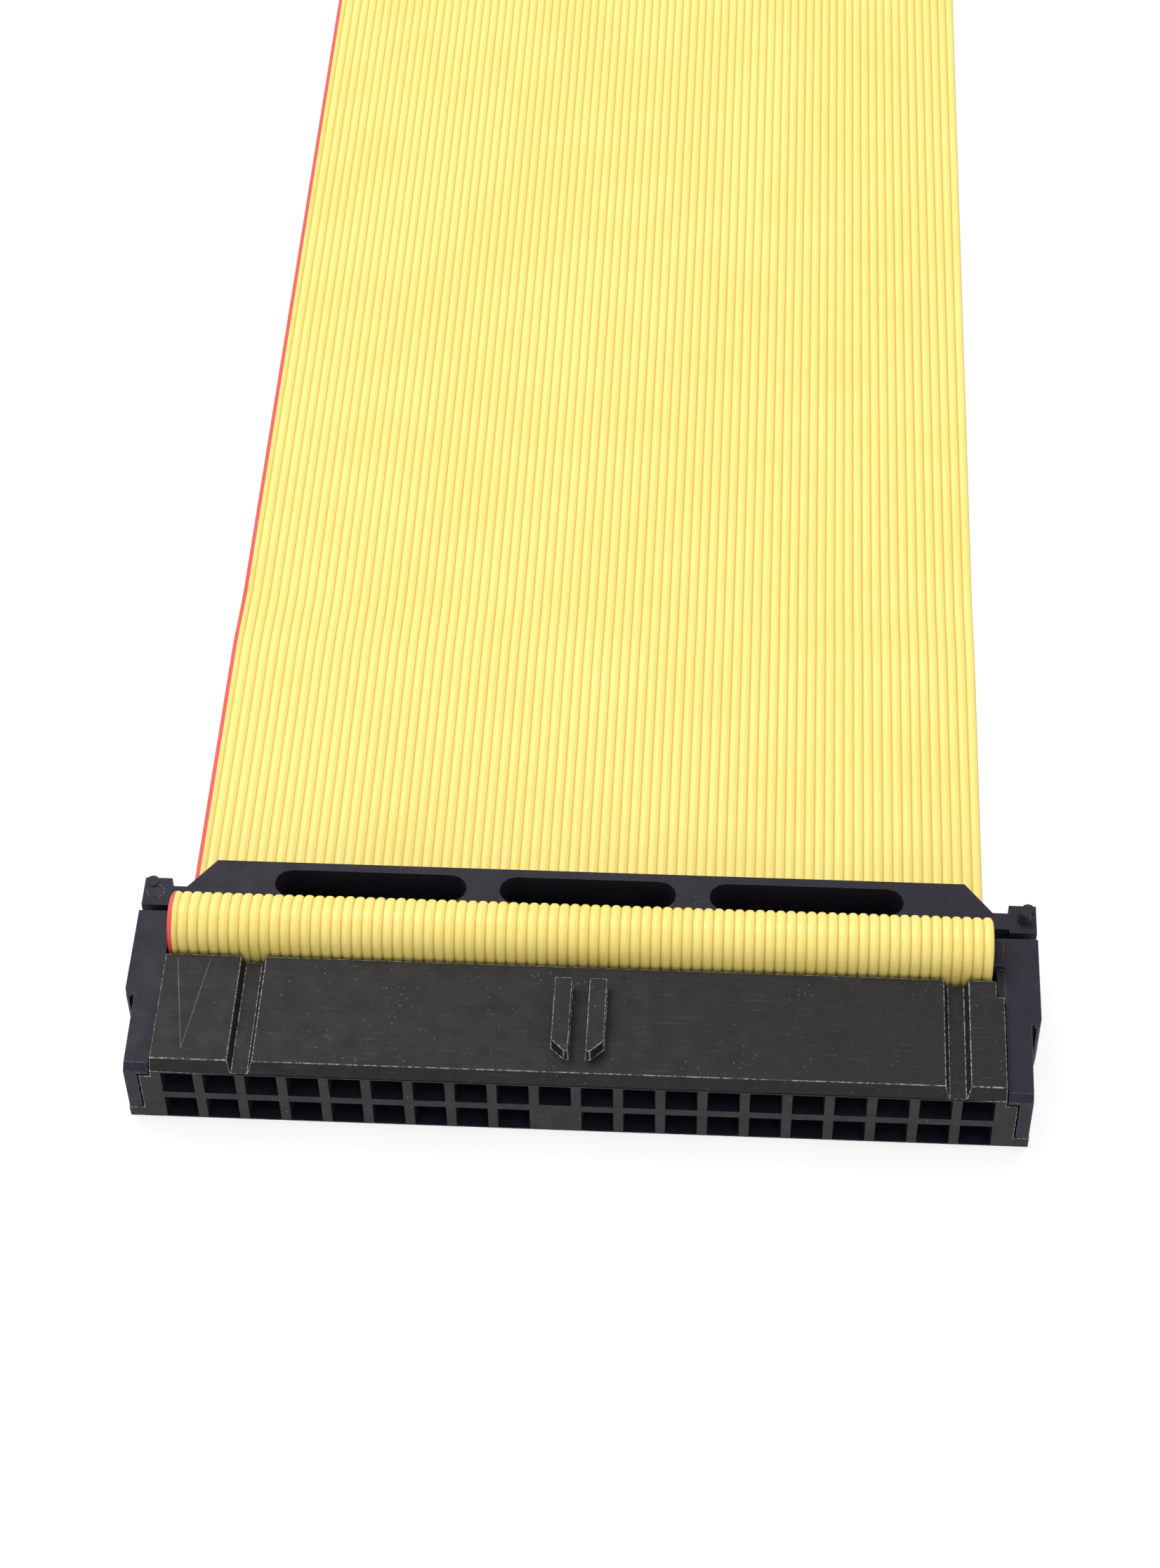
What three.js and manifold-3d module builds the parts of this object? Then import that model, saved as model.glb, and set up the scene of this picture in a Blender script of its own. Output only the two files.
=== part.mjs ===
// Flat ribbon cable for disk drives: 80 conductors between two 40-position sockets.
// Millimetres, +Z up. The origin is the centre of the near socket's mating face,
// between its two rows of cells. +Y runs from that face along the cable, +X to the right.
import * as THREE from 'three';
import { mergeVertices } from 'three/addons/utils/BufferGeometryUtils.js';
import Module from 'manifold-3d';

const wasm = await Module();
wasm.setup();

// Driving dimensions: the pin grid
const PITCH = 2.54;
const COLUMNS = 20;
const BLOCKED_COLUMN = COLUMNS / 2 - 1;
const CELL_MOUTH = 1.95;
const CELL_WIDTH = 1.8;
const LEAD_IN = 0.6;

// Driving dimensions: the socket body
const BODY_DEPTH = 8.4;
const BODY_HEIGHT = 6.1;
const BODY_END = 1.62;
const FACE_CHAMFER_RUN = 0.55;
const FACE_CHAMFER_DROP = 0.69;
const END_WALL = 0.7;
const LEDGE_REACH = 1.65;
const LEDGE_HEIGHT = 1.6;
const END_WALL_DROP = 1.2;
const GROOVE_WIDTH = 1.5;
const GROOVE_FLOOR_WIDTH = 1;
const GROOVE_DEPTH = 0.66;
const GROOVE_LEFT_X = -20.3;
const GROOVE_RIGHT_X = 22.85;
const KEY_GAP = 1.06;
const KEY_WIDTH = 1.06;
const KEY_HEIGHT = 0.9;
const KEY_FRONT = 1.5;
const KEY_LENGTH = 5.45;
const KEY_CHAMFER = 0.8;

// Driving dimensions: the contacts and the ground bar
const CONTACT_THICKNESS = 0.3;
const CONTACT_SETBACK = 0.9;
const BEAM_LENGTH = 3.4;
const BEAM_WIDTH = 0.42;
const PIN_WIDTH = 0.64;
const BASE_LENGTH = 2.2;
const TINE_WIDTH = 0.44;
const TINE_SLOT = 0.16;
const TINE_SLOT_DEPTH = 0.9;
const BAR_THICKNESS = 0.25;
const BAR_DEPTH = 1.4;
const BAR_TOOTH = 0.6;
const BAR_MARGIN = 0.3;
const BAR_SLOT_GAP = 0.07;
const TINE_NECK = 0.3;
const BEAM_PINCH = 0.04;
const BEAM_LEAD = 0.6;
const BEAM_FLARE = 0.15;
const TOOTH_SETBACK = 0.1;
const TOOTH_NOTCH = 0.15;

// Driving dimensions: the ribbon
const CONDUCTORS = 4 * COLUMNS;
const CONDUCTOR_PITCH = PITCH / 4;
const RIBBON_THICKNESS = 0.7;
const RIBBON_SHIFT = -CONDUCTOR_PITCH / 2;
const LOOP_RADIUS = 1.69;
const EXIT_RADIUS = 1.4;
const EXIT_DROP = 2;
const CUT_END_LIFT = 0.45;
const CREASE_Y = 38;
const CREASE_LENGTH = 7;

// Driving dimensions: the cover with its latch arms
const COVER_DROP = 0.15;
const SCALLOP_DEPTH = 0.14;
const ARM_TOP = 2.6;
const ARM_TOP_THICKNESS = 0.55;
const ARM_FOOT_THICKNESS = 0.85;
const ARM_BARB_REACH = 0.6;
const ARM_BARB_FRONT = 5.2;
const ARM_CHAMFER_RUN = 0.5;
const ARM_CHAMFER_DROP = 0.35;
const ARM_REAR_OVERHANG = 0.27;
const BARB_SLIT = 0.14;
const BARB_SLIT_DEPTH = 0.4;
const BARB_LIP = 0.27;
const BARB_NOSE = 0.45;
const BARB_NOSE_RISE = 0.15;
const BARB_RISE = 0.8;
const ARM_TAPER = 0.05;
const TONGUE_STEP = 0.08;
const TONGUE_OVERLAP = 0.25;
const ARM_TONGUE_FRONT = 7.3;

// Driving dimensions: the strain relief
const RELIEF_TOP = 2.2;
const RELIEF_DEPTH = 3.45;
const RELIEF_END_DEPTH = 1.25;
const RELIEF_STRAIGHT = 23.6;
const RELIEF_SHOULDER = 25.3;
const POCKET_WIDTHS = [12.15, 11.15, 12.2];
const POCKET_RIB = 2.05;
const POCKET_SLOT = 2.1;
const POCKET_DEPTH = 2.6;
const POCKET_RIM = 0.6;
const TAB_WIDTH = 1.7;
const TAB_DEPTH = 2.15;
const TAB_GAP = 0.75;
const HOOK_LENGTH = 1.5;
const HOOK_SIZE = 1.0;
const RELIEF_ROUNDING = 0.6;
const BUMP_RADIUS = 0.42;
const BUMP_HEIGHT = 0.1;
const BUMP_SIDE = 0.5;
const BUMP_REAR = 0.32;
const BUMP_ROOT = 0.9;
const GATE_TIP_RADIUS = 0.32;
const GATE_FOOT_RADIUS = 0.55;
const GATE_HEIGHT = 0.75;
const GATE_ROOT = 0.15;
const GATE_SIDE = 0.75;
const GATE_PLACE = 1.05;

// Driving dimensions: the hank of spare cable and its tie
const FOLD_RADIUS = 2.6;
const HANK_START = 151.1;
const HANK_RUN = 82;
const FAR_FACE = 266.5;
const TIE_WIDTH = 4.6;
const TIE_THICKNESS = 0.5;
const TIE_HEAD = 4.2;
const TIE_HEAD_HEIGHT = 2.6;
const TIE_HEAD_MARGIN = 0.9;
const TIE_HEAD_PLACE = 9;
const TIE_TAIL = 8;
const TIE_SLOPE = 6;
const FOLD_SLOPE = 14;
const LEAVE_SLOPE = 12;
const LEAVE_FLAT = 4;
const FAR_DROP = 13;

// Clearances
const MOULD_GAP = 0.1;
const CONTACT_FIT = 0.1;
const RIBBON_GAP = 0.3;
const FOLD_GAP = 0.05;

// Places that follow from the sizes above
const HALF_HEIGHT = BODY_HEIGHT / 2;
const ROW_Z = PITCH / 2;
const BODY_HALF = PITCH * (COLUMNS - 1) / 2 + BODY_END;
const WALL_OUTER = BODY_HALF + END_WALL;
const ARM_INNER = WALL_OUTER + MOULD_GAP;
const LEDGE_OUTER = BODY_HALF + LEDGE_REACH;
const ARM_SLIM = ARM_INNER + ARM_FOOT_THICKNESS;
const ARM_OUTER = ARM_SLIM + ARM_BARB_REACH;
const LEG_FRONT_Y = BODY_DEPTH + RIBBON_GAP + RIBBON_THICKNESS / 2;
const LEG_REAR_Y = LEG_FRONT_Y + 2 * LOOP_RADIUS;
const COVER_FRONT = LEG_FRONT_Y + RIBBON_THICKNESS / 2 + RIBBON_GAP;
const COVER_REAR = LEG_REAR_Y - RIBBON_THICKNESS / 2 - RIBBON_GAP;
const ARM_REAR = COVER_REAR + ARM_REAR_OVERHANG;
const RELIEF_FRONT = LEG_REAR_Y + RIBBON_THICKNESS / 2 + RIBBON_GAP;
const RELIEF_BOTTOM = -EXIT_DROP + RIBBON_THICKNESS / 2 + RIBBON_GAP;
const RIBBON_WIDTH = CONDUCTORS * CONDUCTOR_PITCH;
const FLOOR = -HALF_HEIGHT;
const LAID = FLOOR + RIBBON_THICKNESS / 2;
const STACK = RIBBON_THICKNESS + FOLD_GAP;
const HANK_END = HANK_START + HANK_RUN;
const TIE_LIFT = TIE_THICKNESS + RIBBON_GAP;
const TIE_Y = (HANK_START + HANK_END) / 2;

// Materials
function plastic(color, roughness) {
  return new THREE.MeshStandardMaterial({ color, roughness, metalness: 0 });
}
const BODY_PLASTIC = plastic(0x2c2c2b, 0.55);
const COVER_PLASTIC = plastic(0x2b2a33, 0.5);
const RIBBON_PLASTIC = plastic(0xf3dc6c, 0.45);
const TIE_PLASTIC = plastic(0xd9d9d2, 0.5);
const CONTACT_METAL = new THREE.MeshStandardMaterial({ color: 0xc9a24a, roughness: 0.3, metalness: 1 });

// Solids from outlines, and boolean work on them
function solidOf(geometry) {
  const bare = geometry.clone();
  bare.deleteAttribute('normal');
  bare.deleteAttribute('uv');
  const merged = mergeVertices(bare, 1e-5);
  return new wasm.Manifold(new wasm.Mesh({
    numProp: 3,
    vertProperties: Float32Array.from(merged.attributes.position.array),
    triVerts: Uint32Array.from(merged.index.array),
  }));
}

function geometryOf(solid) {
  const mesh = solid.getMesh();
  const geometry = new THREE.BufferGeometry();
  geometry.setAttribute('position', new THREE.BufferAttribute(mesh.vertProperties, 3));
  geometry.setIndex(new THREE.BufferAttribute(mesh.triVerts, 1));
  geometry.computeVertexNormals();
  return geometry;
}

function shapeOf(points) {
  return new THREE.Shape(points.map(([x, y]) => new THREE.Vector2(x, y)));
}

// Outline in X and Y, raised from z0 to z1
function prismZ(points, z0, z1) {
  const geometry = new THREE.ExtrudeGeometry(shapeOf(points), { depth: z1 - z0, bevelEnabled: false });
  return solidOf(geometry.translate(0, 0, z0));
}

// Outline in Y and Z, run from x0 to x1
const YZ_TO_X = new THREE.Matrix4().set(0, 0, 1, 0, 1, 0, 0, 0, 0, 1, 0, 0, 0, 0, 0, 1);
function stripX(points, x0, x1) {
  const geometry = new THREE.ExtrudeGeometry(shapeOf(points), { depth: x1 - x0, bevelEnabled: false });
  return geometry.applyMatrix4(YZ_TO_X).translate(x0, 0, 0);
}

function prismX(points, x0, x1) {
  return solidOf(stripX(points, x0, x1));
}

// Outline in X and Z, run from y0 to y1
function prismY(points, y0, y1) {
  const geometry = new THREE.ExtrudeGeometry(shapeOf(points), { depth: y1 - y0, bevelEnabled: false });
  return solidOf(geometry.rotateX(Math.PI / 2).translate(0, y1, 0));
}

function box(x0, x1, y0, y1, z0, z1) {
  return prismZ([[x0, y0], [x1, y0], [x1, y1], [x0, y1]], z0, z1);
}

function mirrored(points) {
  return points.map(([x, y]) => [-x, y]).reverse();
}

function joined(solids) {
  return solids.reduce((sum, solid) => sum.add(solid));
}

function cut(solid, cutters) {
  return cutters.reduce((rest, cutter) => rest.subtract(cutter), solid);
}

// Square funnel along Y, from side a at y0 to side b at y1
function funnel(x, z, y0, y1, a, b) {
  const corner = Math.SQRT1_2;
  const geometry = new THREE.CylinderGeometry(b * corner, a * corner, y1 - y0, 4, 1);
  geometry.rotateY(Math.PI / 4).translate(x, (y0 + y1) / 2, z);
  return solidOf(geometry);
}

// The cells of the grid, leaving out the blocked one in the lower row
function cells() {
  const list = [];
  for (let column = 0; column < COLUMNS; column += 1) {
    for (const row of [1, -1]) {
      if (row < 0 && column === BLOCKED_COLUMN) continue;
      list.push({
        column,
        row,
        x: (column - (COLUMNS - 1) / 2) * PITCH,
        z: row * ROW_Z,
        tine: -row * CONDUCTOR_PITCH,
      });
    }
  }
  return list;
}

function cellCutters({ x, z }) {
  const slope = (CELL_MOUTH - CELL_WIDTH) / LEAD_IN;
  const over = 0.1;
  const half = CELL_WIDTH / 2;
  return [
    funnel(x, z, -over, LEAD_IN, CELL_MOUTH + slope * over, CELL_WIDTH),
    box(x - half, x + half, LEAD_IN - over, BODY_DEPTH + over, z - half, z + half),
  ];
}

// Contact: a stamped tuning fork for the pin, with a slotted tine for its conductor
function contactOutline(tine, baseHalf) {
  const tip = CONTACT_SETBACK;
  const crotch = tip + BEAM_LENGTH;
  const base = crotch + BASE_LENGTH;
  const outer = PIN_WIDTH / 2 + BEAM_WIDTH;
  const pinch = PIN_WIDTH / 2 - BEAM_PINCH;
  const lead = tip + BEAM_LEAD;
  const neck = base + TINE_NECK;
  const crown = BODY_DEPTH - TINE_NECK;
  const root = pinch + CONTACT_FIT;
  const half = TINE_WIDTH / 2;
  const slot = TINE_SLOT / 2;
  const seat = BODY_DEPTH - TINE_SLOT_DEPTH;
  return [
    [-outer, crotch], [-outer, tip], [-pinch - BEAM_FLARE, tip], [-pinch, lead],
    [-root, crotch], [root, crotch], [pinch, lead], [pinch + BEAM_FLARE, tip],
    [outer, tip], [outer, crotch], [baseHalf, crotch], [baseHalf, base],
    [tine + half, neck], [tine + half, crown], [tine + slot, BODY_DEPTH],
    [tine, seat], [tine - slot, BODY_DEPTH], [tine - half, crown],
    [tine - half, neck], [-baseHalf, base], [-baseHalf, crotch],
  ];
}

function contactSolid({ x, z, tine }, baseHalf) {
  const outline = contactOutline(tine, baseHalf).map(([px, py]) => [x + px, py]);
  return prismZ(outline, z - CONTACT_THICKNESS / 2, z + CONTACT_THICKNESS / 2);
}

// Ground bar: a comb whose teeth meet every second conductor
function groundBar() {
  const strip = BODY_DEPTH - BAR_TOOTH;
  const front = BODY_DEPTH - BAR_DEPTH;
  const teeth = [];
  for (let n = 0; n < CONDUCTORS / 2; n += 1) {
    const x = (2 * n - (CONDUCTORS - 1) / 2) * CONDUCTOR_PITCH + RIBBON_SHIFT;
    const half = TINE_WIDTH / 2;
    const tip = BODY_DEPTH - TOOTH_SETBACK;
    teeth.push([x - half, strip], [x - half, tip], [x, strip + TOOTH_NOTCH],
      [x + half, tip], [x + half, strip]);
  }
  const first = teeth[0][0] - BAR_MARGIN;
  const last = teeth[teeth.length - 1][0] + BAR_MARGIN;
  const outline = [[last, strip], [last, front], [first, front], [first, strip], ...teeth];
  return prismZ(outline.reverse(), -BAR_THICKNESS / 2, BAR_THICKNESS / 2);
}

// Socket body: chamfered block with cells, end ledges, grooves and two key ridges
function bodyProfile(top) {
  const face = FACE_CHAMFER_DROP;
  const run = FACE_CHAMFER_RUN;
  return [
    [0, FLOOR + face], [run, FLOOR], [BODY_DEPTH, FLOOR],
    [BODY_DEPTH, top], [run, top], [0, Math.min(top, HALF_HEIGHT - face)],
  ];
}

function keyRidges() {
  const inner = KEY_GAP / 2;
  const outer = inner + KEY_WIDTH;
  const rear = KEY_FRONT + KEY_LENGTH;
  const outline = [
    [inner, KEY_FRONT], [outer - KEY_CHAMFER, KEY_FRONT], [outer, KEY_FRONT + KEY_CHAMFER],
    [outer, rear], [inner, rear],
  ];
  const foot = HALF_HEIGHT - 0.2;
  const top = HALF_HEIGHT + KEY_HEIGHT;
  return [prismZ(outline, foot, top), prismZ(mirrored(outline), foot, top)];
}

function grooveCutter(x) {
  const half = GROOVE_WIDTH / 2;
  const foot = GROOVE_FLOOR_WIDTH / 2;
  const over = 0.2;
  const wider = half + (half - foot) * over / GROOVE_DEPTH;
  const outline = [
    [x - foot, HALF_HEIGHT - GROOVE_DEPTH], [x + foot, HALF_HEIGHT - GROOVE_DEPTH],
    [x + wider, HALF_HEIGHT + over], [x - wider, HALF_HEIGHT + over],
  ];
  return prismY(outline, -over, BODY_DEPTH + over);
}

function socketBody() {
  const wallTop = HALF_HEIGHT - END_WALL_DROP;
  const block = joined([
    prismX(bodyProfile(HALF_HEIGHT), -BODY_HALF, BODY_HALF),
    prismX(bodyProfile(wallTop), -WALL_OUTER, WALL_OUTER),
    prismX(bodyProfile(FLOOR + LEDGE_HEIGHT), -LEDGE_OUTER, LEDGE_OUTER),
    ...keyRidges(),
  ]);
  const barHalf = RIBBON_WIDTH / 2 + 2 * BAR_MARGIN;
  const slotHalf = BAR_THICKNESS / 2 + BAR_SLOT_GAP;
  const barSlot = box(RIBBON_SHIFT - barHalf, RIBBON_SHIFT + barHalf, BODY_DEPTH - BAR_DEPTH - MOULD_GAP,
    BODY_DEPTH + 1, -slotHalf, slotHalf);
  const tongueNotch = box(tongueInner() - MOULD_GAP, BODY_HALF + 1, ARM_TONGUE_FRONT - MOULD_GAP,
    BODY_DEPTH + 1, ARM_TOP - ARM_TOP_THICKNESS - MOULD_GAP, HALF_HEIGHT + 1);
  return cut(block, [
    ...cells().flatMap(cellCutters),
    grooveCutter(GROOVE_LEFT_X),
    grooveCutter(GROOVE_RIGHT_X),
    barSlot,
    tongueNotch,
  ]);
}

function ribbonEdge(side) {
  return RIBBON_SHIFT + side * RIBBON_WIDTH / 2;
}

function tongueInner() {
  return ribbonEdge(1) + RIBBON_GAP;
}

// Cover: scalloped clamping bar with a latch arm at each end
function coverBar() {
  const half = BODY_HALF + MOULD_GAP;
  const front = [];
  for (let n = 0; n <= CONDUCTORS; n += 1) {
    const edge = ribbonEdge(-1) + n * CONDUCTOR_PITCH;
    front.push([edge, COVER_FRONT]);
    if (n < CONDUCTORS) front.push([edge + CONDUCTOR_PITCH / 2, COVER_FRONT + SCALLOP_DEPTH]);
  }
  const outline = [
    [-half, COVER_FRONT], ...front, [half, COVER_FRONT], [half, COVER_REAR], [-half, COVER_REAR],
  ];
  return prismZ(outline, FLOOR, HALF_HEIGHT - COVER_DROP);
}

function armOutline() {
  const barb = ARM_BARB_FRONT;
  const slitEnd = barb + BARB_SLIT_DEPTH;
  return [
    [ARM_INNER, 0], [ARM_SLIM - ARM_TAPER, 0], [ARM_SLIM, slitEnd], [ARM_SLIM + BARB_SLIT, slitEnd - ARM_TAPER],
    [ARM_SLIM + BARB_LIP, barb], [ARM_SLIM + BARB_NOSE, barb + BARB_NOSE_RISE], [ARM_OUTER, barb + BARB_RISE],
    [ARM_OUTER, ARM_REAR], [ARM_INNER, ARM_REAR],
  ];
}

function latchArm(side) {
  const place = side > 0 ? (points) => points : mirrored;
  const span = (a, b) => (side > 0 ? [a, b] : [-b, -a]);
  const inner = BODY_HALF + MOULD_GAP;
  const flangeBottom = ARM_TOP - ARM_TOP_THICKNESS;
  const footBottom = FLOOR + LEDGE_HEIGHT + MOULD_GAP;
  const blockFront = BODY_DEPTH + MOULD_GAP;
  const lap = ARM_INNER + 0.1;
  const flange = [[inner, 0], [inner, ARM_REAR], [lap, ARM_REAR], [lap, 0]].reverse();
  const solids = [
    prismZ(place(armOutline()), footBottom, ARM_TOP),
    prismZ(place(flange), flangeBottom, ARM_TOP),
    box(...span(inner, ARM_OUTER), blockFront, ARM_REAR, FLOOR, ARM_TOP),
  ];
  if (side > 0) {
    const tongueTop = ARM_TOP - TONGUE_STEP;
    solids.push(box(tongueInner(), inner + TONGUE_OVERLAP, ARM_TONGUE_FRONT, ARM_REAR,
      flangeBottom, tongueTop));
  }
  const socket = hookBox(side, MOULD_GAP);
  const over = 0.2;
  const rise = over * ARM_CHAMFER_DROP / ARM_CHAMFER_RUN;
  const bevel = prismX([
    [-over, ARM_TOP - ARM_CHAMFER_DROP - rise], [ARM_CHAMFER_RUN + over, ARM_TOP + rise],
    [-over, ARM_TOP + rise],
  ], ...span(inner - over, ARM_OUTER + over));
  return cut(joined(solids), [socket, bevel]);
}

// Hook of the strain relief that snaps into the end of a latch arm
function hookBox(side, gap) {
  const x0 = (ARM_INNER + ARM_OUTER - HOOK_SIZE) / 2 - gap;
  const x1 = x0 + HOOK_SIZE + 2 * gap;
  const y0 = ARM_REAR - HOOK_LENGTH - gap;
  const y1 = ARM_REAR + TAB_GAP + 0.5;
  const half = HOOK_SIZE / 2 + gap;
  return side > 0 ? box(x0, x1, y0, y1, -half, half) : box(-x1, -x0, y0, y1, -half, half);
}

function cover() {
  return joined([coverBar(), latchArm(-1), latchArm(1)]);
}

// Strain relief: chamfered bar with three pockets, and a tab with a hook at each end
function stadium(x0, x1, y0, y1, steps) {
  const radius = (y1 - y0) / 2;
  const mid = (y0 + y1) / 2;
  const points = [];
  for (let n = 0; n <= steps; n += 1) {
    const angle = -Math.PI / 2 + Math.PI * n / steps;
    points.push([x1 - radius + radius * Math.cos(angle), mid + radius * Math.sin(angle)]);
  }
  for (let n = 0; n <= steps; n += 1) {
    const angle = Math.PI / 2 + Math.PI * n / steps;
    points.push([x0 + radius + radius * Math.cos(angle), mid + radius * Math.sin(angle)]);
  }
  return points;
}

function pocketCutters() {
  const rear = RELIEF_FRONT + RELIEF_DEPTH - POCKET_RIM;
  const total = POCKET_WIDTHS.reduce((sum, width) => sum + width, 0) + POCKET_RIB * (POCKET_WIDTHS.length - 1);
  let x = -total / 2;
  return POCKET_WIDTHS.map((width) => {
    const outline = stadium(x, x + width, rear - POCKET_SLOT, rear, 6);
    x += width + POCKET_RIB;
    return prismZ(outline, RELIEF_TOP - POCKET_DEPTH, RELIEF_TOP + 1);
  });
}

function strainRelief() {
  const rear = RELIEF_FRONT + RELIEF_DEPTH;
  const shoulder = RELIEF_FRONT + RELIEF_END_DEPTH;
  const tabOuter = ARM_OUTER;
  const tabInner = tabOuter - TAB_WIDTH;
  const tabLap = tabInner + 0.1;
  const tabFront = ARM_REAR + TAB_GAP;
  const tabRear = tabFront + TAB_DEPTH;
  const half = [
    [0, rear], [RELIEF_STRAIGHT, rear], [RELIEF_SHOULDER, shoulder], [tabLap, shoulder],
    [tabLap, RELIEF_FRONT], [0, RELIEF_FRONT],
  ].reverse();
  const tabs = [[tabInner, tabOuter], [-tabOuter, -tabInner]];
  const round = (x, y, z0, z1, foot, tip) => solidOf(new THREE.CylinderGeometry(tip, foot, z1 - z0, 10)
    .rotateX(Math.PI / 2).translate(x, y, (z0 + z1) / 2));
  const bump = (side) => round(side * (tabOuter - BUMP_SIDE), tabRear - BUMP_REAR, RELIEF_TOP - BUMP_ROOT,
    RELIEF_TOP + BUMP_HEIGHT, BUMP_RADIUS, BUMP_RADIUS);
  const gate = round(tabOuter - GATE_SIDE, tabFront + GATE_PLACE, RELIEF_TOP - GATE_ROOT,
    RELIEF_TOP + GATE_HEIGHT, GATE_FOOT_RADIUS, GATE_TIP_RADIUS);
  const bar = joined([
    prismZ(half, RELIEF_BOTTOM, RELIEF_TOP),
    prismZ(mirrored(half), RELIEF_BOTTOM, RELIEF_TOP),
  ]);
  const over = RELIEF_ROUNDING / 3;
  const roundIn = prismX([
    [RELIEF_FRONT - over, RELIEF_BOTTOM - over], [RELIEF_FRONT + RELIEF_ROUNDING, RELIEF_BOTTOM - over],
    [RELIEF_FRONT - over, RELIEF_BOTTOM + RELIEF_ROUNDING],
  ], -tabInner, tabInner);
  const solids = [cut(bar, [...pocketCutters(), roundIn])];
  for (const [x0, x1] of tabs) solids.push(box(x0, x1, tabFront, tabRear, FLOOR, RELIEF_TOP));
  for (const side of [-1, 1]) solids.push(hookBox(side, 0), bump(side));
  solids.push(gate);
  return joined(solids);
}

// Route of the ribbon's centre, as points in Y and Z
function arc(y, z, radius, from, to, steps) {
  const points = [];
  for (let n = 1; n <= steps; n += 1) {
    const angle = THREE.MathUtils.degToRad(from + (to - from) * n / steps);
    points.push([y + radius * Math.cos(angle), z + radius * Math.sin(angle)]);
  }
  return points;
}

function ramp(y0, z0, y1, z1) {
  const steps = 6;
  const points = [];
  for (let n = 1; n <= steps; n += 1) {
    const share = n / steps;
    const ease = (1 - Math.cos(Math.PI * share)) / 2;
    points.push([y0 + (y1 - y0) * share, z0 + (z1 - z0) * ease]);
  }
  return points;
}

// From the ribbon's cut end, up between body and cover, over the cover and out underneath
function throughSocket() {
  const bendZ = -EXIT_DROP + EXIT_RADIUS;
  return [
    [LEG_FRONT_Y, FLOOR + CUT_END_LIFT],
    [LEG_FRONT_Y, HALF_HEIGHT],
    ...arc(LEG_FRONT_Y + LOOP_RADIUS, HALF_HEIGHT, LOOP_RADIUS, 180, 0, 14),
    [LEG_REAR_Y, bendZ],
    ...arc(LEG_REAR_Y + EXIT_RADIUS, bendZ, EXIT_RADIUS, 180, 270, 7),
  ];
}

function nearRoute() {
  return [
    ...throughSocket(),
    [CREASE_Y, -EXIT_DROP],
    ...ramp(CREASE_Y, -EXIT_DROP, CREASE_Y + CREASE_LENGTH, LAID),
    [HANK_START - FOLD_RADIUS - RIBBON_THICKNESS / 2 - RIBBON_GAP, LAID],
  ];
}

function farRoute() {
  const start = HANK_END + FOLD_RADIUS + RIBBON_THICKNESS / 2 + RIBBON_GAP;
  const top = LAID + STACK + 2 * FOLD_RADIUS;
  const back = throughSocket().map(([y, z]) => [FAR_FACE - y, z]).reverse();
  return [[start, top], ...ramp(start, top, start + FAR_DROP, -EXIT_DROP), ...back];
}

// A flat solid of the ribbon's thickness that follows a route
function ribbonAlong(route) {
  const half = RIBBON_THICKNESS / 2;
  const left = [];
  const right = [];
  route.forEach(([y, z], n) => {
    const [y0, z0] = route[Math.max(n - 1, 0)];
    const [y1, z1] = route[Math.min(n + 1, route.length - 1)];
    const length = Math.hypot(y1 - y0, z1 - z0);
    const normal = [-(z1 - z0) / length, (y1 - y0) / length];
    left.push([y + normal[0] * half, z + normal[1] * half]);
    right.push([y - normal[0] * half, z - normal[1] * half]);
  });
  return stripX([...right, ...left.reverse()], ribbonEdge(-1), ribbonEdge(1));
}

// Hank: the outer shape of three runs folded to and fro, hollowed below for the tie
function hankSolid() {
  const skin = RIBBON_THICKNESS / 2;
  const outer = FOLD_RADIUS + skin;
  const first = LAID + STACK;
  const high = first + 2 * FOLD_RADIUS + skin;
  const low = first + STACK + skin;
  const bed = TIE_WIDTH / 2 + RIBBON_GAP;
  const outline = [
    [HANK_START - outer, FLOOR], [TIE_Y - bed - TIE_SLOPE, FLOOR], [TIE_Y - bed, FLOOR + TIE_LIFT],
    [TIE_Y + bed, FLOOR + TIE_LIFT], [TIE_Y + bed + TIE_SLOPE, FLOOR], [HANK_END, FLOOR],
    ...arc(HANK_END, FLOOR + outer, outer, -90, 0, 5), [HANK_END + outer, high],
    [HANK_END - LEAVE_FLAT, high], [HANK_END - LEAVE_FLAT - LEAVE_SLOPE, low],
    [TIE_Y + bed + TIE_SLOPE, low],
    [TIE_Y + bed, low + TIE_LIFT], [TIE_Y - bed, low + TIE_LIFT], [TIE_Y - bed - TIE_SLOPE, low],
    [HANK_START + FOLD_SLOPE, low], [HANK_START, high],
    ...arc(HANK_START, high - outer, outer, 90, 180, 5),
  ];
  return stripX(outline, ribbonEdge(-1), ribbonEdge(1));
}

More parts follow.
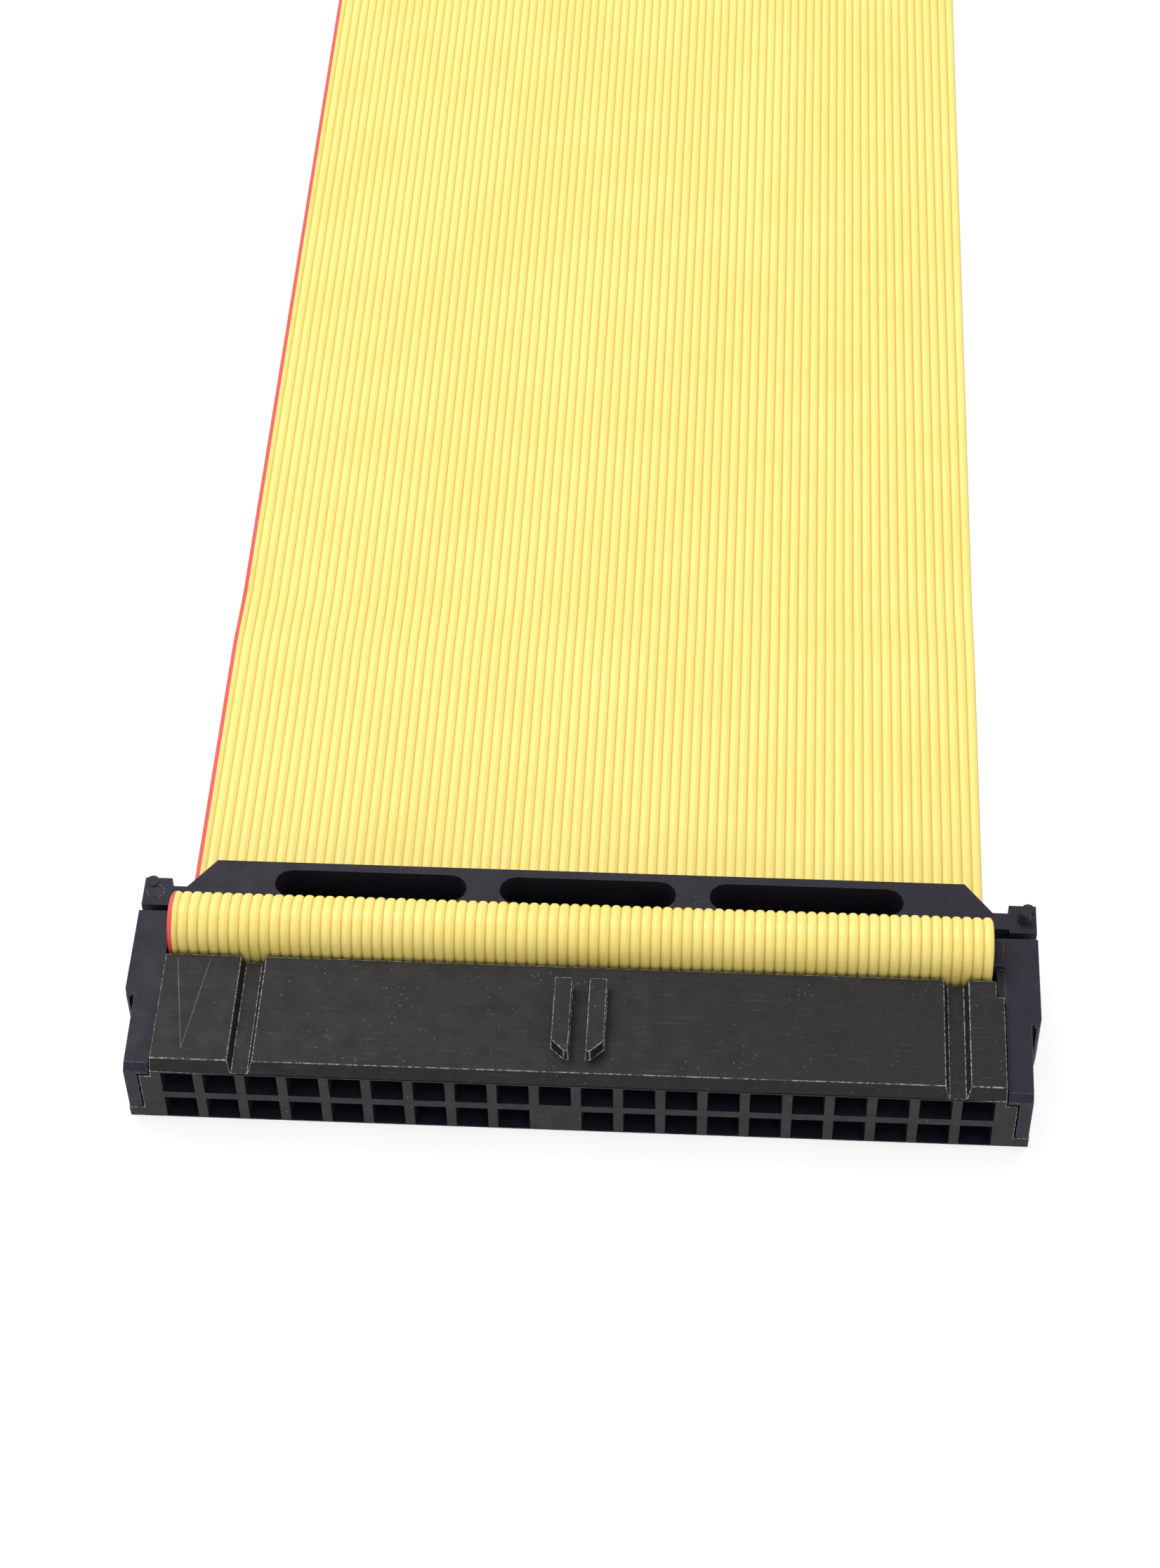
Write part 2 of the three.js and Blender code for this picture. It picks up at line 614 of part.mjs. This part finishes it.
// Tie: a strap round the hank with its head on one side of the top
function hankTie() {
  const low = FLOOR;
  const high = LAID + 2 * STACK + RIBBON_THICKNESS / 2 + TIE_LIFT + RIBBON_GAP + TIE_THICKNESS;
  const x0 = ribbonEdge(-1) - RIBBON_GAP - TIE_THICKNESS;
  const x1 = ribbonEdge(1) + RIBBON_GAP + TIE_THICKNESS;
  const y0 = TIE_Y - TIE_WIDTH / 2;
  const y1 = TIE_Y + TIE_WIDTH / 2;
  const wall = TIE_THICKNESS;
  const ring = cut(box(x0, x1, y0, y1, low, high), [
    box(x0 + wall, x1 - wall, y0 - 1, y1 + 1, low + wall, high - wall),
  ]);
  const headX = x1 - TIE_HEAD_PLACE;
  const margin = TIE_HEAD_MARGIN;
  const head = box(headX, headX + TIE_HEAD, y0 - margin, y1 + margin, high - wall / 2, high + TIE_HEAD_HEIGHT);
  const tail = box(headX - TIE_TAIL, headX + TIE_HEAD / 2, y0 + wall, y1 - wall,
    high + 2 * wall, high + 4 * wall);
  return joined([ring, head, tail]);
}

// Assembly
const cable = new THREE.Group();

function piece(name, shape, material, parent) {
  const geometry = shape.isBufferGeometry ? shape : geometryOf(shape);
  const mesh = new THREE.Mesh(geometry, material);
  mesh.name = name;
  parent.add(mesh);
}

const near = new THREE.Group();
const baseHalf = CELL_WIDTH / 2 - CONTACT_FIT;
piece('near_socket_body', socketBody(), BODY_PLASTIC, near);
piece('near_cover', cover(), COVER_PLASTIC, near);
piece('near_strain_relief', strainRelief(), COVER_PLASTIC, near);
piece('near_ground_bar', groundBar(), CONTACT_METAL, near);
for (const cell of cells()) {
  const label = `${cell.row > 0 ? 'upper' : 'lower'}_${String(cell.column + 1).padStart(2, '0')}`;
  piece(`contact_${label}`, contactSolid(cell, baseHalf), CONTACT_METAL, near);
}
cable.add(near);

// The far socket is the same moulding turned round, with its contacts joined to the body
const far = new THREE.Group();
const fusedHalf = CELL_WIDTH / 2 + CONTACT_FIT;
const farBody = joined([socketBody(), ...cells().map((cell) => contactSolid(cell, fusedHalf))]);
piece('far_socket_body', farBody, BODY_PLASTIC, far);
piece('far_cover', cover(), COVER_PLASTIC, far);
piece('far_strain_relief', strainRelief(), COVER_PLASTIC, far);
piece('far_ground_bar', groundBar(), CONTACT_METAL, far);
far.rotation.z = Math.PI;
far.position.set(2 * RIBBON_SHIFT, FAR_FACE, 0);
cable.add(far);

piece('ribbon_cable', ribbonAlong(nearRoute()), RIBBON_PLASTIC, cable);
piece('ribbon_hank', hankSolid(), RIBBON_PLASTIC, cable);
piece('ribbon_far_end', ribbonAlong(farRoute()), RIBBON_PLASTIC, cable);
piece('hank_tie', hankTie(), TIE_PLASTIC, cable);

export default cable;
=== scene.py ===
# Looks of the flat ribbon cable: ribbed ribbon, moulded sockets, contacts and tie.
import math
import random

import bmesh
import bpy
from mathutils import Matrix, Vector


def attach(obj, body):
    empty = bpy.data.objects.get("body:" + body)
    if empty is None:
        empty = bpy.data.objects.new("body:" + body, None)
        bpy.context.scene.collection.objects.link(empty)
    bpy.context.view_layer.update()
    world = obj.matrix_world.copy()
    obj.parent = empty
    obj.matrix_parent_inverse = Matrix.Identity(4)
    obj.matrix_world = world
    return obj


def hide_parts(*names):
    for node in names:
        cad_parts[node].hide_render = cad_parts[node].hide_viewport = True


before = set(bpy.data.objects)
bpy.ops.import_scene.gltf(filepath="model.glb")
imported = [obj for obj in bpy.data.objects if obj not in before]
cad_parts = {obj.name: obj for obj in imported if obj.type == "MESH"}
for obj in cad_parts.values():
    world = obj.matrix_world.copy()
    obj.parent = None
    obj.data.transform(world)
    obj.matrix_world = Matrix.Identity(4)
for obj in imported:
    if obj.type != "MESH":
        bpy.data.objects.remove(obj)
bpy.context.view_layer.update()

# Sizes in millimetres, as the model has them
MM = 0.001
BODY_DEPTH = 8.4
HALF_HEIGHT = 3.05
FLOOR = -HALF_HEIGHT
RELIEF_TOP = 2.2
CONDUCTORS = 80
CONDUCTOR_PITCH = 0.635
RIBBON_THICKNESS = 0.7
RIBBON_SHIFT = -CONDUCTOR_PITCH / 2
RIBBON_WIDTH = CONDUCTORS * CONDUCTOR_PITCH
LOOP_RADIUS = 1.69
EXIT_RADIUS = 1.4
EXIT_DROP = 2.0
RIBBON_GAP = 0.3
LEG_FRONT_Y = BODY_DEPTH + RIBBON_GAP + RIBBON_THICKNESS / 2
LEG_REAR_Y = LEG_FRONT_Y + 2 * LOOP_RADIUS
LAID = FLOOR + RIBBON_THICKNESS / 2
FOLD_GAP = 0.05
STACK = RIBBON_THICKNESS + FOLD_GAP
CUT_END_LIFT = 0.45
CREASE_Y = 38.0
CREASE_LENGTH = 7.0
FOLD_RADIUS = 2.6
HANK_START = 151.1
HANK_RUN = 82.0
HANK_END = HANK_START + HANK_RUN
FAR_FACE = 266.5
FOLD_SLOPE = 14.0
THIRD_RUN_END = 16.0
LEAVE_FLAT = 4.0
FAR_DROP = 13.0
FLAT_START_Y = 90.0
TIE_WIDTH = 4.6
TIE_LIFT = 0.8
TIE_SLOPE = 6.0
TIE_Y = (HANK_START + HANK_END) / 2

# The photograph's camera, found by fitting the grid of cells
FOCAL_PIXELS = 4700.8
IMAGE_HEIGHT_PIXELS = 2233
SENSOR = 36.0
CAMERA_PLACE = Vector((8.499, -112.522, 165.752)) * MM
CAMERA_DOWN = math.radians(50.133)
CAMERA_TURN = math.radians(-3.981)
CAMERA_ROLL = math.radians(-1.258)


def make_camera():
    down, turn, roll = CAMERA_DOWN, CAMERA_TURN, CAMERA_ROLL
    ahead = Vector((math.sin(turn) * math.cos(down), math.cos(turn) * math.cos(down), -math.sin(down)))
    right = Vector((math.cos(turn), -math.sin(turn), 0.0))
    up = right.cross(ahead)
    rolled_right = math.cos(roll) * right + math.sin(roll) * up
    rolled_up = -math.sin(roll) * right + math.cos(roll) * up
    data = bpy.data.cameras.new("photo_camera")
    data.sensor_width = SENSOR
    data.lens = SENSOR * FOCAL_PIXELS / IMAGE_HEIGHT_PIXELS
    data.clip_start = 0.005
    data.clip_end = 20.0
    camera = bpy.data.objects.new("photo_camera", data)
    axes = Matrix((rolled_right, rolled_up, -ahead)).transposed()
    camera.matrix_world = Matrix.Translation(CAMERA_PLACE) @ axes.to_4x4()
    bpy.context.scene.collection.objects.link(camera)
    bpy.context.scene.camera = camera


make_camera()


# Small helpers for node materials
class Nodes:
    def __init__(self, name):
        self.material = bpy.data.materials.new(name)
        self.material.use_nodes = True
        self.tree = self.material.node_tree
        self.shader = self.tree.nodes["Principled BSDF"]

    def add(self, kind, **values):
        node = self.tree.nodes.new(kind)
        for key, value in values.items():
            if key in node.inputs:
                node.inputs[key].default_value = value
            else:
                setattr(node, key, value)
        return node

    def link(self, source, target):
        self.tree.links.new(source, target)

    def place(self, scale=(1, 1, 1)):
        coords = self.add("ShaderNodeTexCoord")
        mapping = self.add("ShaderNodeMapping")
        mapping.inputs["Scale"].default_value = scale
        self.link(coords.outputs["Object"], mapping.inputs["Vector"])
        return mapping.outputs["Vector"]

    def noise(self, scale, detail=2.0, stretch=(1, 1, 1), roughness=0.5):
        node = self.add("ShaderNodeTexNoise", Scale=scale, Detail=detail, Roughness=roughness)
        self.link(self.place(stretch), node.inputs["Vector"])
        return node.outputs["Fac"]

    def ramp(self, source, low, high, to_low=0.0, to_high=1.0):
        node = self.add("ShaderNodeMapRange")
        node.clamp = True
        node.inputs["From Min"].default_value = low
        node.inputs["From Max"].default_value = high
        node.inputs["To Min"].default_value = to_low
        node.inputs["To Max"].default_value = to_high
        self.link(source, node.inputs["Value"])
        return node.outputs["Result"]

    def math(self, operation, a, b):
        node = self.add("ShaderNodeMath")
        node.operation = operation
        for socket, value in zip(node.inputs, (a, b)):
            if isinstance(value, (int, float)):
                socket.default_value = value
            else:
                self.link(value, socket)
        return node.outputs["Value"]

    def mix(self, factor, a, b):
        node = self.add("ShaderNodeMix")
        node.data_type = "RGBA"
        self.link(factor, node.inputs["Factor"])
        for socket, value in ((node.inputs[6], a), (node.inputs[7], b)):
            if isinstance(value, tuple):
                socket.default_value = (*value, 1.0)
            else:
                self.link(value, socket)
        return node.outputs[2]

    def bump(self, height, strength, distance):
        node = self.add("ShaderNodeBump", Strength=strength, Distance=distance)
        self.link(height, node.inputs["Height"])
        self.link(node.outputs["Normal"], self.shader.inputs["Normal"])

    def set(self, **values):
        for key, value in values.items():
            self.shader.inputs[key.replace("_", " ")].default_value = value

    def color(self, output):
        self.link(output, self.shader.inputs["Base Color"])


# Moulded plastic: cloudy base, fine drag marks and sparse pale dust; the optional pale flecks of the edge
# copies are partly wear and partly painted highlight
def moulded(name, dark, light, speck, dust_share=0.9, drag=0.14, pale_wear_and_highlight=None):
    n = Nodes(name)
    cloud = n.ramp(n.noise(900.0, 6.0), 0.25, 0.75)
    base = n.mix(cloud, dark, light)
    marks = n.ramp(n.noise(4200.0, 3.0, (0.16, 1.0, 1.0)), 0.6, 0.85, 0.0, drag)
    marked = n.mix(marks, base, speck)
    dots = n.add("ShaderNodeTexVoronoi", Scale=5200.0)
    n.link(n.place(), dots.inputs["Vector"])
    small = n.ramp(dots.outputs["Distance"], 0.15, 0.35, 0.7, 0.0)
    parts = n.add("ShaderNodeSeparateColor")
    n.link(dots.outputs["Color"], parts.inputs["Color"])
    chosen = n.ramp(parts.outputs["Red"], dust_share, dust_share + 0.1)
    patch = n.ramp(n.noise(260.0, 2.0), 0.4, 0.6, 0.25, 1.0)
    dust = n.math("MULTIPLY", n.math("MULTIPLY", small, chosen), patch)
    surface = n.mix(dust, marked, speck)
    if pale_wear_and_highlight is not None:
        # Pale flecks for the edge material: partly wear, partly painted highlight along the edges
        wear_and_highlight_flecks = n.ramp(n.noise(4600.0, 4.0), 0.42, 0.6, 0.12, 1.0)
        surface = n.mix(wear_and_highlight_flecks, surface, pale_wear_and_highlight)
    n.color(surface)
    n.link(n.ramp(n.noise(700.0, 3.0), 0.3, 0.7, 0.45, 0.62), n.shader.inputs["Roughness"])
    n.bump(n.noise(3200.0, 3.0), 0.2, 0.00001)
    n.set(IOR=1.45, Specular_IOR_Level=0.25)
    return n.material


def contact_metal():
    n = Nodes("plated_strip")
    tone = n.ramp(n.noise(900.0, 3.0), 0.3, 0.7)
    n.color(n.mix(tone, (0.42, 0.3, 0.12), (0.6, 0.45, 0.2)))
    n.link(n.ramp(n.noise(1500.0, 2.0), 0.3, 0.7, 0.25, 0.45), n.shader.inputs["Roughness"])
    n.set(Metallic=1.0)
    return n.material


# Ribbon insulation: the groove attribute darkens the valleys between conductors with painted shade
def insulation(name, crest, groove, groove_shade_colour):
    n = Nodes(name)
    groove_shade_weight = n.add("ShaderNodeAttribute", attribute_name="groove")
    cloud = n.ramp(n.noise(150.0, 3.0), 0.35, 0.7)
    body = n.mix(cloud, crest, groove)
    n.color(n.mix(n.ramp(groove_shade_weight.outputs["Fac"], 0.45, 1.0), body, groove_shade_colour))
    n.link(n.ramp(n.noise(600.0, 2.0), 0.3, 0.7, 0.34, 0.48), n.shader.inputs["Roughness"])
    n.bump(n.noise(2500.0, 2.0), 0.12, 0.00002)
    n.set(IOR=1.5, Subsurface_Weight=0.0)
    return n.material


def nylon():
    n = Nodes("tie_nylon")
    n.color(n.mix(n.ramp(n.noise(500.0, 3.0), 0.35, 0.7), (0.62, 0.62, 0.57), (0.74, 0.74, 0.7)))
    n.link(n.ramp(n.noise(900.0, 2.0), 0.3, 0.7, 0.4, 0.55), n.shader.inputs["Roughness"])
    return n.material


BODY_DARK = (0.013, 0.0128, 0.0132)
BODY_LIGHT = (0.0175, 0.0172, 0.0178)
COVER_DARK = (0.0155, 0.0137, 0.023)
COVER_LIGHT = (0.0195, 0.0175, 0.0285)
BODY_SPECK = (0.2, 0.2, 0.18)
COVER_SPECK = (0.12, 0.12, 0.14)
BODY = moulded("socket_plastic", BODY_DARK, BODY_LIGHT, BODY_SPECK)
# Edge copies with pale flecks: partly wear, partly painted highlight on the rounded edges
BODY_EDGE_WEAR_AND_HIGHLIGHT = moulded("socket_plastic_edge_wear_and_highlight", BODY_DARK, BODY_LIGHT, BODY_SPECK, pale_wear_and_highlight=(0.3, 0.3, 0.28))
COVER = moulded("cover_plastic", COVER_DARK, COVER_LIGHT, COVER_SPECK, 0.93, 0.12)
COVER_EDGE_WEAR_AND_HIGHLIGHT = moulded("cover_plastic_edge_wear_and_highlight", COVER_DARK, COVER_LIGHT, COVER_SPECK, 0.93, 0.12, (0.08, 0.08, 0.1))
# Darker copy of the plastic for the cell walls: painted shade inside the deep cells
CELL_PAINTED_SHADE = moulded("socket_cell_painted_shade", (0.006, 0.005, 0.012), (0.01, 0.009, 0.018), (0.05, 0.05, 0.07), 0.95, 0.1)
METAL = contact_metal()
# The third colour of each ribbon is painted shade in the valleys between conductors
YELLOW = insulation("ribbon_yellow", (0.97, 0.79, 0.235), (0.94, 0.75, 0.2), (0.68, 0.44, 0.05))
RED = insulation("ribbon_red", (0.85, 0.08, 0.06), (0.78, 0.06, 0.05), (0.4, 0.03, 0.02))
NYLON = nylon()


# The block that the cells fill, and the bevels of the dressed pieces, in millimetres
GRID_HALF_X = 25.2
GRID_HALF_Z = 2.3
FACE_MARGIN = 0.02
REAR_MARGIN = 0.1
SHARP_EDGE = math.radians(30)
FLAT_EDGE = math.radians(0.5)
SHORTEST_EDGE = 2.2
WELD = 2e-6
EDGE_SLOT = 1
# Slot of the painted shade inside the cells
CELL_SHADE_SLOT = 2


# Position of a point in its own socket's frame, in millimetres
def in_socket(point, far):
    x, y, z = (value / MM for value in point)
    return (2 * RIBBON_SHIFT - x, FAR_FACE - y, z) if far else (x, y, z)


# Edges of the cells and of the slots behind them stay sharp
def outer_edge(edge, far):
    for vert in edge.verts:
        x, y, z = in_socket(vert.co, far)
        if abs(x) < GRID_HALF_X and abs(z) < GRID_HALF_Z and y < BODY_DEPTH + REAR_MARGIN:
            return False
    return True


def any_edge(edge, far):
    return True


# A dressed copy of a rigid node: the same faces, with small rounded edges; on the sockets the edge material's
# pale flecks are partly wear and partly painted highlight
def dress(node, materials, edge_mm, wanted=any_edge):
    far = node.startswith("far")
    bm = bmesh.new()
    bm.from_mesh(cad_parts[node].data)
    bmesh.ops.remove_doubles(bm, verts=bm.verts, dist=WELD)
    bmesh.ops.dissolve_limit(bm, angle_limit=FLAT_EDGE, verts=bm.verts, edges=bm.edges)
    edges = [
        edge for edge in bm.edges
        if len(edge.link_faces) == 2
        and edge.calc_face_angle(0.0) > SHARP_EDGE
        and edge.calc_length() > SHORTEST_EDGE * edge_mm * MM
        and wanted(edge, far)
    ]
    bmesh.ops.bevel(
        bm, geom=edges, offset=edge_mm * MM, offset_type="OFFSET", segments=2, profile=0.6,
        affect="EDGES", clamp_overlap=True, material=EDGE_SLOT, loop_slide=True,
    )
    mesh = bpy.data.meshes.new(node + "_fine")
    for material in materials:
        mesh.materials.append(material)
    # Faces inside the cells take the painted-shade material
    if node.endswith("_socket_body"):
        for face in bm.faces:
            if in_cell(face, far):
                face.material_index = CELL_SHADE_SLOT
    for face in bm.faces:
        face.smooth = False
    bm.to_mesh(mesh)
    bm.free()
    piece = bpy.data.objects.new(node + "_fine", mesh)
    bpy.context.scene.collection.objects.link(piece)
    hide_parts(node)
    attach(piece, "root")
    return piece


# Faces inside the cells, behind the mating face; they take the darker material that paints shade into the
# cells
def in_cell(face, far):
    x, y, z = in_socket(face.calc_center_median(), far)
    return abs(x) < GRID_HALF_X and abs(z) < GRID_HALF_Z and FACE_MARGIN < y < BODY_DEPTH - FACE_MARGIN


for end in ("near", "far"):
    dress(
        end + "_socket_body", (BODY, BODY_EDGE_WEAR_AND_HIGHLIGHT, CELL_PAINTED_SHADE), 0.07, outer_edge)
    dress(end + "_cover", (COVER, COVER_EDGE_WEAR_AND_HIGHLIGHT), 0.06)
    dress(end + "_strain_relief", (COVER, COVER_EDGE_WEAR_AND_HIGHLIGHT), 0.1)
TIE = dress("hank_tie", (NYLON, NYLON), 0.12)

for name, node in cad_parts.items():
    if name.startswith("contact_") or name.endswith("_ground_bar"):
        node.data.materials.clear()
        node.data.materials.append(METAL)


# Route of the ribbon's centre, as points in Y and Z
def arc(y, z, radius, first, last, steps):
    points = []
    for n in range(1, steps + 1):
        angle = math.radians(first + (last - first) * n / steps)
        points.append((y + radius * math.cos(angle), z + radius * math.sin(angle)))
    return points


def ramp(y0, z0, y1, z1, steps=6):
    points = []
    for n in range(1, steps + 1):
        share = n / steps
        ease = (1 - math.cos(math.pi * share)) / 2
        points.append((y0 + (y1 - y0) * share, z0 + (z1 - z0) * ease))
    return points


def through_socket():
    bend = -EXIT_DROP + EXIT_RADIUS
    return [
        (LEG_FRONT_Y, FLOOR + CUT_END_LIFT),
        (LEG_FRONT_Y, HALF_HEIGHT),
        *arc(LEG_FRONT_Y + LOOP_RADIUS, HALF_HEIGHT, LOOP_RADIUS, 180, 0, 20),
        (LEG_REAR_Y, bend),
        *arc(LEG_REAR_Y + EXIT_RADIUS, bend, EXIT_RADIUS, 180, 270, 8),
    ]


# A run of the hank at height z, lifted where it crosses the tie
def tied_run(y1, z):
    forward = 1 if y1 > TIE_Y else -1
    bed = forward * (TIE_WIDTH / 2 + RIBBON_GAP)
    slope = forward * TIE_SLOPE
    return [
        (TIE_Y - bed - slope, z),
        *ramp(TIE_Y - bed - slope, z, TIE_Y - bed, z + TIE_LIFT),
        (TIE_Y + bed, z + TIE_LIFT),
        *ramp(TIE_Y + bed, z + TIE_LIFT, TIE_Y + bed + slope, z),
        (y1, z),
    ]


def ribbon_route():
    second = LAID + STACK
    third = second + STACK
    high = second + 2 * FOLD_RADIUS
    far_socket = [(FAR_FACE - y, z) for y, z in through_socket()][::-1]
    leave = HANK_END + FOLD_RADIUS + RIBBON_THICKNESS / 2 + RIBBON_GAP
    return [
        *through_socket(),
        (CREASE_Y, -EXIT_DROP),
        *ramp(CREASE_Y, -EXIT_DROP, CREASE_Y + CREASE_LENGTH, LAID, 8),
        (FLAT_START_Y, LAID),
        *tied_run(HANK_END, LAID),
        *arc(HANK_END, LAID + FOLD_RADIUS, FOLD_RADIUS, -90, 90, 10),
        *ramp(HANK_END, LAID + 2 * FOLD_RADIUS, HANK_END - FOLD_SLOPE, second),
        *tied_run(HANK_START, second),
        *arc(HANK_START, second + FOLD_RADIUS, FOLD_RADIUS, 270, 90, 10),
        *ramp(HANK_START, high, HANK_START + FOLD_SLOPE, third),
        *tied_run(HANK_END - THIRD_RUN_END, third),
        *ramp(HANK_END - THIRD_RUN_END, third, HANK_END - LEAVE_FLAT, high),
        (leave, high),
        *ramp(leave, high, leave + FAR_DROP, -EXIT_DROP, 10),
        *far_socket,
    ]


def route_length(route):
    return sum(math.dist(a, b) for a, b in zip(route, route[1:]))


# Cross-section of the ribbed ribbon: four steps across each conductor, with slightly uneven crests
RIB_POINTS = 4
RIB_UNEVEN = 0.03
RIB_SEED = 7
WEB_HALF = 0.17
EDGE_HALF = 0.12


def rib_section():
    top = []
    uneven = random.Random(RIB_SEED)
    highs = [uneven.uniform(-RIB_UNEVEN, 0.0) for n in range(CONDUCTORS + 1)]
    for n in range(CONDUCTORS * RIB_POINTS + 1):
        across = n / RIB_POINTS
        phase = across - math.floor(across) - 0.5
        rise = math.sqrt(max(0.0, 1 - (2 * phase) ** 2))
        crest = RIBBON_THICKNESS / 2 + highs[int(across)]
        half = WEB_HALF + (crest - WEB_HALF) * rise
        if n in (0, CONDUCTORS * RIB_POINTS):
            half = EDGE_HALF
        x = RIBBON_SHIFT - RIBBON_WIDTH / 2 + across * CONDUCTOR_PITCH
        # The third value weights the painted shade in the valleys
        top.append((x, half, 1 - rise))
    bottom = [(x, -half, groove) for x, half, groove in reversed(top)]
    return top, bottom


def make_ribbon(route):
    top, bottom = rib_section()
    ring = top + bottom
    mesh = bpy.data.meshes.new("ribbon")
    verts = []
    groove_shade_weights = []
    for n, (y, z) in enumerate(route):
        y0, z0 = route[max(n - 1, 0)]
        y1, z1 = route[min(n + 1, len(route) - 1)]
        length = math.hypot(y1 - y0, z1 - z0)
        across = (-(z1 - z0) / length, (y1 - y0) / length)
        for x, half, groove in ring:
            verts.append((x * MM, (y + across[0] * half) * MM, (z + across[1] * half) * MM))
            groove_shade_weights.append(groove)
    size = len(ring)
    faces = []
    paints = []
    red_points = RIB_POINTS // 2
    for n in range(len(route) - 1):
        for k in range(size):
            after = (k + 1) % size
            faces.append((n * size + k, n * size + after, (n + 1) * size + after, (n + 1) * size + k))
            column = k if k < len(top) - 1 else size - 2 - k
            paints.append(1 if column < red_points or k == size - 1 else 0)
    last = (len(route) - 1) * size
    for first, flip in ((0, True), (last, False)):
        for k in range(len(top) - 1):
            low = size - 1 - k
            face = (first + k, first + k + 1, first + low - 1, first + low)
            faces.append(face[::-1] if flip else face)
            paints.append(1 if k < red_points else 0)
    mesh.from_pydata(verts, [], faces)
    mesh.materials.append(YELLOW)
    mesh.materials.append(RED)
    mesh.polygons.foreach_set("material_index", paints)
    mesh.polygons.foreach_set("use_smooth", [True] * len(faces))
    # The groove attribute carries the weight of the painted valley shade
    attribute = mesh.attributes.new("groove", "FLOAT", "POINT")
    attribute.data.foreach_set("value", groove_shade_weights)
    bm = bmesh.new()
    bm.from_mesh(mesh)
    bmesh.ops.recalc_face_normals(bm, faces=bm.faces)
    bm.to_mesh(mesh)
    bm.free()
    ribbon = bpy.data.objects.new("ribbon", mesh)
    bpy.context.scene.collection.objects.link(ribbon)
    return ribbon


ROUTE = ribbon_route()
RIBBON = make_ribbon(ROUTE)
print("ribbon length mm", round(route_length(ROUTE), 1), "faces", len(RIBBON.data.polygons))
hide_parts("ribbon_cable", "ribbon_hank", "ribbon_far_end")
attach(RIBBON, "root")


# Thin raised strokes: the triangle on the top at the first position, and the ejector mark on the left tab
STROKE_SINK = 0.03


def thin_strokes(name, strokes, width_mm, height_mm, z_mm, material):
    bm = bmesh.new()
    for start, end in strokes:
        a, b = Vector((*start, 0)), Vector((*end, 0))
        side = (b - a).normalized().cross(Vector((0, 0, 1))) * width_mm / 2
        base = Vector((0, 0, z_mm - STROKE_SINK))
        peak = Vector((0, 0, z_mm + height_mm))
        low = [bm.verts.new((p + base) * MM) for p in (a - side, a + side, b + side, b - side)]
        crest = [bm.verts.new((p + peak) * MM) for p in (a, b)]
        bm.faces.new(low[::-1])
        bm.faces.new((low[1], low[2], crest[1], crest[0]))
        bm.faces.new((low[3], low[0], crest[0], crest[1]))
        bm.faces.new((low[0], low[1], crest[0]))
        bm.faces.new((low[2], low[3], crest[1]))
    bmesh.ops.recalc_face_normals(bm, faces=bm.faces)
    mesh = bpy.data.meshes.new(name)
    bm.to_mesh(mesh)
    bm.free()
    mesh.materials.append(material)
    piece = bpy.data.objects.new(name, mesh)
    bpy.context.scene.collection.objects.link(piece)
    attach(piece, "root")
    return piece


# Pale grey material for the thin raised strokes of the triangle mark, lighter than the body
PALE_MARK_TONE = moulded("pale_mark_tone", (0.14, 0.14, 0.13), (0.26, 0.26, 0.24), (0.3, 0.3, 0.28))
MARK_TIP = (-23.93, 1.35)
MARK_LEFT = (-24.96, 8.05)
MARK_RIGHT = (-22.93, 8.1)
MARK_SIDES = [(MARK_TIP, MARK_LEFT), (MARK_TIP, MARK_RIGHT)]
thin_strokes("pin_one_mark", MARK_SIDES, 0.09, 0.03, HALF_HEIGHT, PALE_MARK_TONE)

RING_STEPS = 28
RING_RADIUS = 0.52
EJECTOR_X = -27.23
EJECTOR_Y = 13.9
ring_angles = [2 * math.pi * n / RING_STEPS for n in range(RING_STEPS + 1)]
ring_points = [
    (EJECTOR_X + RING_RADIUS * math.cos(angle), EJECTOR_Y + RING_RADIUS * math.sin(angle))
    for angle in ring_angles
]
ring_strokes = list(zip(ring_points, ring_points[1:]))
# The ring takes the body's edge material: its pale flecks are partly wear, partly a painted highlight on the
# ring
thin_strokes("ejector_mark", ring_strokes, 0.08, 0.05, RELIEF_TOP, BODY_EDGE_WEAR_AND_HIGHLIGHT)


# Floor and soft studio light
FLOOR_REACH = 3.0
FLOOR_CLEARANCE = 0.02
WORLD_STRENGTH = 0.72
LIT_PLACE = Vector((0, 0.02, 0))


def make_floor():
    mesh = bpy.data.meshes.new("floor")
    reach = FLOOR_REACH
    z = (FLOOR - FLOOR_CLEARANCE) * MM
    corners = [(-reach, -reach, z), (reach, -reach, z), (reach, reach, z), (-reach, reach, z)]
    mesh.from_pydata(corners, [], [(0, 1, 2, 3)])
    n = Nodes("pale_floor")
    n.set(Base_Color=(0.3, 0.3, 0.3, 1.0), Roughness=0.9)
    n.set(Emission_Color=(1.0, 1.0, 1.0, 1.0), Emission_Strength=0.8)
    mesh.materials.append(n.material)
    floor = bpy.data.objects.new("floor", mesh)
    bpy.context.scene.collection.objects.link(floor)


def make_light(name, place, size, power):
    data = bpy.data.lights.new(name, "AREA")
    data.size = size
    data.energy = power
    light = bpy.data.objects.new(name, data)
    light.location = place
    light.rotation_euler = (LIT_PLACE - Vector(place)).to_track_quat("-Z", "Y").to_euler()
    bpy.context.scene.collection.objects.link(light)


def make_world():
    world = bpy.data.worlds.new("studio")
    world.use_nodes = True
    background = world.node_tree.nodes["Background"]
    background.inputs["Color"].default_value = (1.0, 1.0, 1.0, 1.0)
    background.inputs["Strength"].default_value = WORLD_STRENGTH
    bpy.context.scene.world = world
    bpy.context.scene.view_settings.view_transform = "Standard"


make_floor()
make_world()
make_light("key", (-0.25, 0.25, 0.55), 0.4, 2.4)
make_light("front", (0.1, -0.6, 0.35), 0.5, 0.5)
